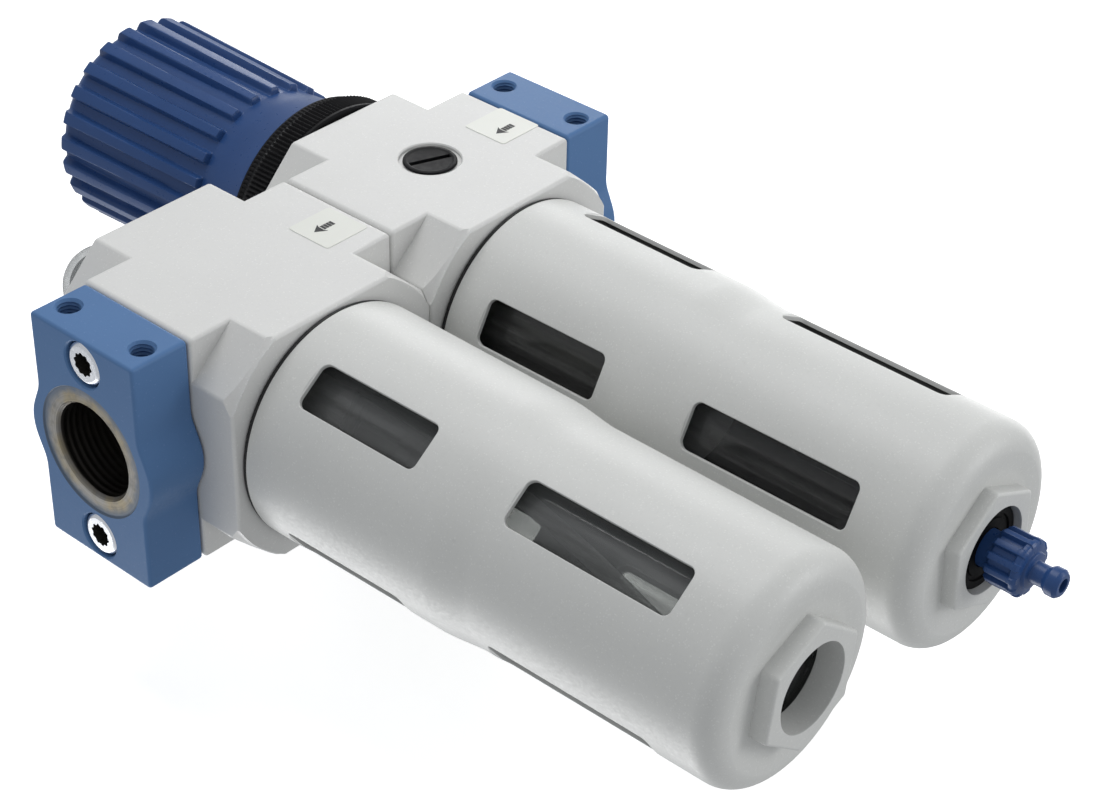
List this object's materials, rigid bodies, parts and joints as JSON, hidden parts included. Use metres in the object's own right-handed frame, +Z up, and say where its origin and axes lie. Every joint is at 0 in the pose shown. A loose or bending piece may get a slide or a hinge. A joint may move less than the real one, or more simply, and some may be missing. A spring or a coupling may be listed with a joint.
{
  "type": "filter regulator lubricator",
  "caption": "Compressed-air service unit: filter regulator with ribbed knob and gauge beside an oil-mist lubricator, metal bowl guards below, threaded connecting plates at both ends.",
  "frame": {"origin": "centre of the inlet plate's wall-side face, midway between its two tapped holes and level with the port axis", "axes": "+X along the air flow, from inlet plate to outlet plate; +Y out of the rear faces, towards the wall; +Z up, with the adjusting knob on top and the bowls below"},
  "size_m": [0.1661, 0.0949, 0.315],
  "materials": {
    "body": "light grey matt paint on die-cast zinc",
    "blue": "blue matt paint on die-cast zinc",
    "knob": "satin moulded blue plastic",
    "black": "moulded black plastic",
    "rubber": "black nitrile rubber",
    "clear": "clear polycarbonate",
    "zinc": "zinc-plated steel",
    "brass": "turned brass",
    "white": "moulded white plastic",
    "filter": "sintered porous plastic",
    "dial": "white printed dial",
    "pointer": "black lacquer"
  },
  "bodies": {
    "unit": {"baffle_disc": "white", "bourdon_tube": "brass", "diaphragm": "rubber", "dome_ring": "black", "drip_nozzle": "white", "filter_element": "filter", "gauge_case": "black", "gauge_dial": "dial", "gauge_lens": "clear", "gauge_port_plug": "black", "gauge_socket": "brass", "inlet_plate": "blue", "inlet_screw_front": "zinc", "inlet_screw_rear": "zinc", "inlet_seal": "rubber", "lock_ring": "black", "lubricator_body": "body", "main_spring": "zinc", "module_seal_sleeve": "rubber", "module_stud_front": "zinc", "module_stud_rear": "zinc", "outlet_plate": "blue", "outlet_screw_front": "zinc", "outlet_screw_rear": "zinc", "outlet_seal": "rubber", "regulator_body": "body", "regulator_bonnet": "black", "sight_dome": "clear", "siphon_strainer": "white", "siphon_tube": "clear", "swirl_deflector": "white", "valve_guide": "white", "valve_seat": "brass", "valve_spring": "zinc", "venturi_flap": "rubber", "venturi_insert": "white"},
    "spindle": {"adjusting_spindle": "zinc"},
    "knob": {"adjusting_knob": "knob"},
    "nut": {"spring_nut": "brass"},
    "relief_plate": {"diaphragm_plate": "brass"},
    "valve": {"valve_stem": "brass"},
    "pointer": {"gauge_pointer": "pointer"},
    "filter_bowl_unit": {"filter_bowl": "clear", "filter_bowl_seal": "rubber", "filter_guard_gasket": "rubber", "drain_body": "black", "drain_nut": "white"},
    "filter_sleeve": {"filter_guard": "body"},
    "drain_seat": {"drain_pin": "rubber"},
    "drain_wheel": {"drain_knob": "knob"},
    "lubricator_bowl_unit": {"lubricator_bowl": "clear", "lubricator_bowl_seal": "rubber", "lubricator_guard_gasket": "rubber"},
    "lubricator_sleeve": {"lubricator_guard": "body"},
    "needle": {"drip_needle": "zinc"},
    "drip_adjuster": {"drip_screw": "brass"},
    "plug_seal": {"oil_plug_seal": "rubber"},
    "plug": {"oil_fill_plug": "black"},
    "ball": {"check_ball": "zinc"}
  },
  "joints": [
    {"name": "knob_turn", "type": "hinge", "parent": "unit", "child": "spindle", "pos_m": [0.04225, -0.032, 0.08], "axis": [0, 0, 1], "range_deg": [-2520, 0]},
    {"name": "knob_lift", "type": "slide", "parent": "spindle", "child": "knob", "axis": [0, 0, 1], "range_m": [0, 0.003]},
    {"name": "nut_travel", "type": "slide", "parent": "unit", "child": "nut", "axis": [0, 0, 1], "range_m": [-0.0106, 0], "deforming": ["main_spring"]},
    {"name": "diaphragm_travel", "type": "slide", "parent": "unit", "child": "relief_plate", "axis": [0, 0, 1], "range_m": [-0.0012, 0]},
    {"name": "valve_travel", "type": "slide", "parent": "unit", "child": "valve", "axis": [0, 0, 1], "range_m": [-0.0013, 0], "deforming": ["valve_spring"]},
    {"name": "pointer_sweep", "type": "hinge", "parent": "unit", "child": "pointer", "pos_m": [0.04225, -0.082, 0], "axis": [0, 1, 0], "range_deg": [0, 270]},
    {"name": "filter_bowl_drop", "type": "slide", "parent": "unit", "child": "filter_bowl_unit", "axis": [0, 0, 1], "range_m": [-0.0101, 0]},
    {"name": "filter_guard_turn", "type": "hinge", "parent": "filter_bowl_unit", "child": "filter_sleeve", "pos_m": [0.04225, -0.032, -0.1], "axis": [0, 0, 1], "range_deg": [-1800, 0]},
    {"name": "drain_lift", "type": "slide", "parent": "filter_bowl_unit", "child": "drain_seat", "axis": [0, 0, 1], "range_m": [-0.00125, 0]},
    {"name": "drain_turn", "type": "hinge", "parent": "drain_seat", "child": "drain_wheel", "pos_m": [0.04225, -0.032, -0.182], "axis": [0, 0, 1], "range_deg": [-365, 0]},
    {"name": "lubricator_bowl_drop", "type": "slide", "parent": "unit", "child": "lubricator_bowl_unit", "axis": [0, 0, 1], "range_m": [-0.0101, 0]},
    {"name": "lubricator_guard_turn", "type": "hinge", "parent": "lubricator_bowl_unit", "child": "lubricator_sleeve", "pos_m": [0.10825, -0.032, -0.1], "axis": [0, 0, 1], "range_deg": [-1800, 0]},
    {"name": "needle_lift", "type": "slide", "parent": "unit", "child": "needle", "axis": [0, 0, 1], "range_m": [0, 0.0015]},
    {"name": "drip_turn", "type": "hinge", "parent": "needle", "child": "drip_adjuster", "pos_m": [0.09375, -0.0465, 0.031], "axis": [0, 0, 1], "range_deg": [0, 730]},
    {"name": "plug_lift", "type": "slide", "parent": "unit", "child": "plug_seal", "axis": [0, 0, 1], "range_m": [0, 0.00375]},
    {"name": "plug_turn", "type": "hinge", "parent": "plug_seal", "child": "plug", "pos_m": [0.12275, -0.0465, 0.031], "axis": [0, 0, 1], "range_deg": [0, 1090]},
    {"name": "ball_lift", "type": "slide", "parent": "unit", "child": "ball", "axis": [0, 0, 1], "range_m": [0, 0.001]}
  ],
  "couplings": [
    {"joint": "nut_travel", "follows": "knob_turn", "m_per_rad": 0.00023873},
    {"joint": "valve_travel", "follows": "diaphragm_travel", "ratio": 1},
    {"joint": "filter_bowl_drop", "follows": "filter_guard_turn", "m_per_rad": 0.00031831},
    {"joint": "drain_turn", "follows": "drain_lift", "rad_per_m": 5026.5},
    {"joint": "lubricator_bowl_drop", "follows": "lubricator_guard_turn", "m_per_rad": 0.00031831},
    {"joint": "drip_turn", "follows": "needle_lift", "rad_per_m": 8377.6},
    {"joint": "plug_turn", "follows": "plug_lift", "rad_per_m": 5026.5}
  ]
}
